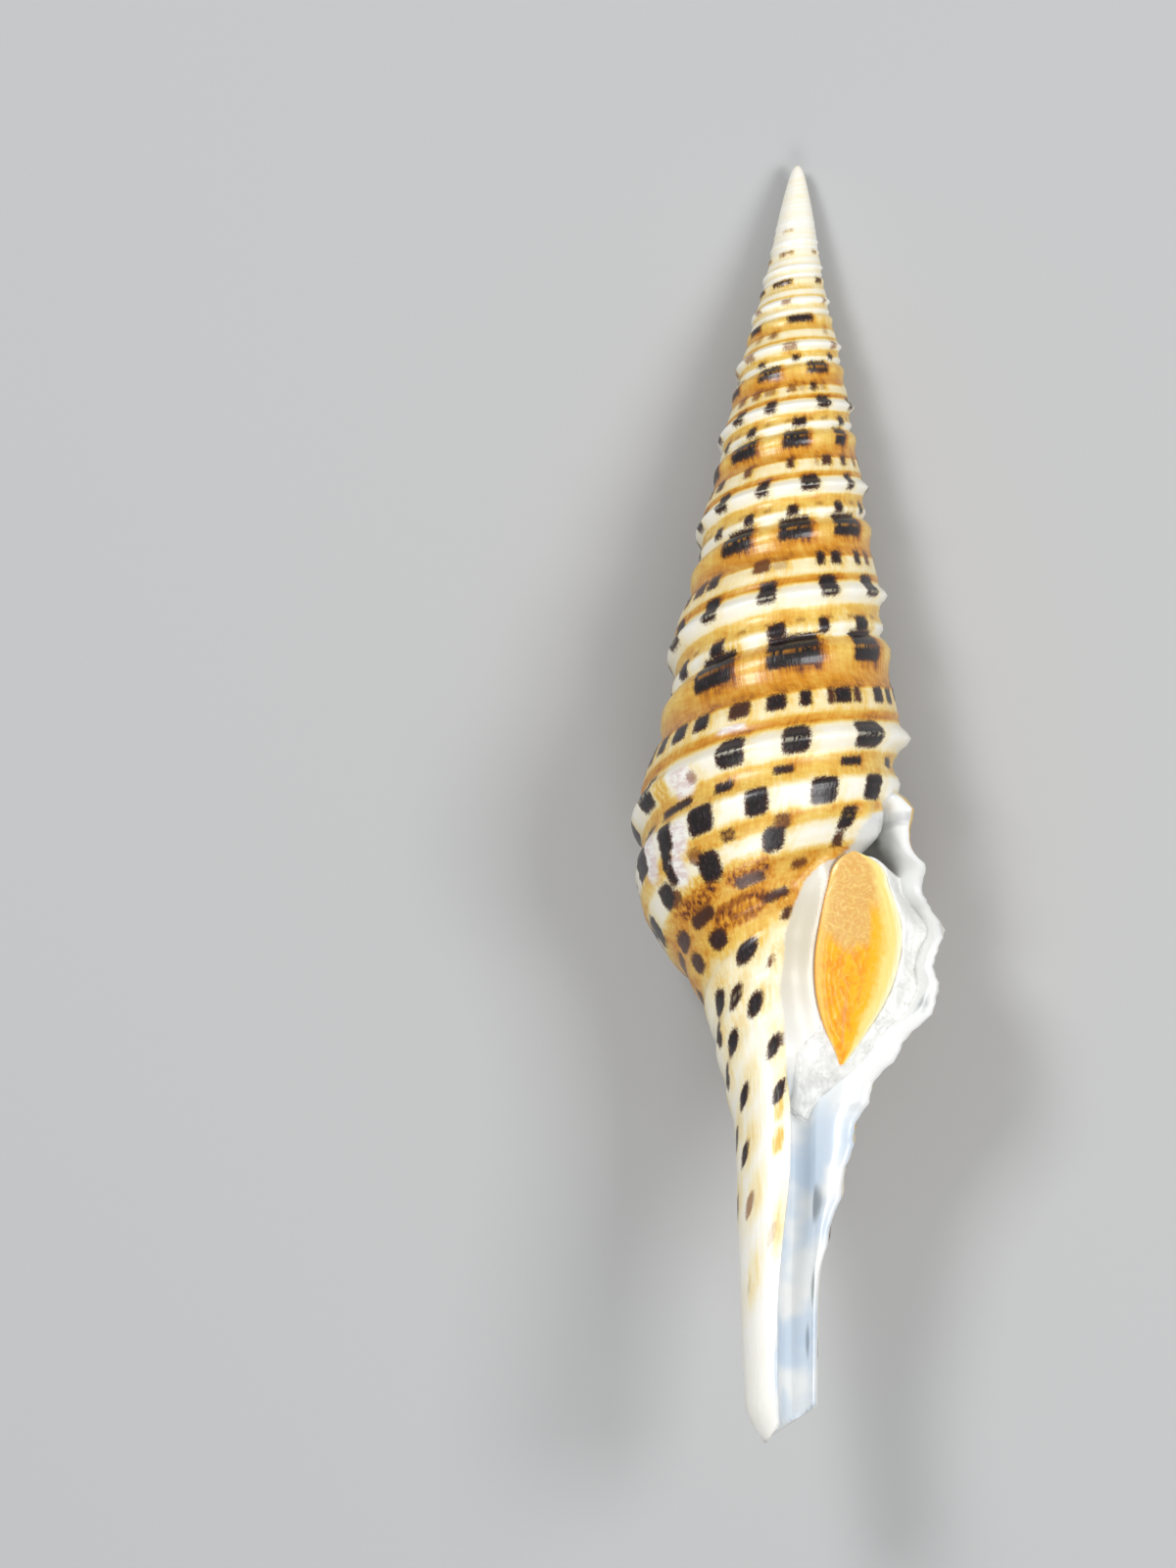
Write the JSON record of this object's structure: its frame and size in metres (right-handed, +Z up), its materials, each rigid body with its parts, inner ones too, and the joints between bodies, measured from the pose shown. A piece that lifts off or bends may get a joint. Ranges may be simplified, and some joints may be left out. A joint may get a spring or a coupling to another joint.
{
  "type": "turrid seashell",
  "caption": "Slender spindle-shaped sea snail shell with a spotted, corded spiral and a long open canal, lying on its back with its opening up, closed by a horny plate on cotton wool.",
  "frame": {"origin": "middle of the bounding box in X and Y, at the surface that the shell lies on", "axes": "+Y along the shell towards the tip of the spire, +X towards the lip, +Z up, the way the opening faces"},
  "size_m": [0.0236, 0.0986, 0.021],
  "materials": {
    "shell": "glossy, cream with dark brown blotches and spots on orange",
    "horn": "glossy translucent amber horn",
    "cotton": "matt white cotton wool"
  },
  "bodies": {
    "root": {"shell": "shell", "operculum": "horn", "cotton_wad": "cotton"}
  },
  "joints": []
}
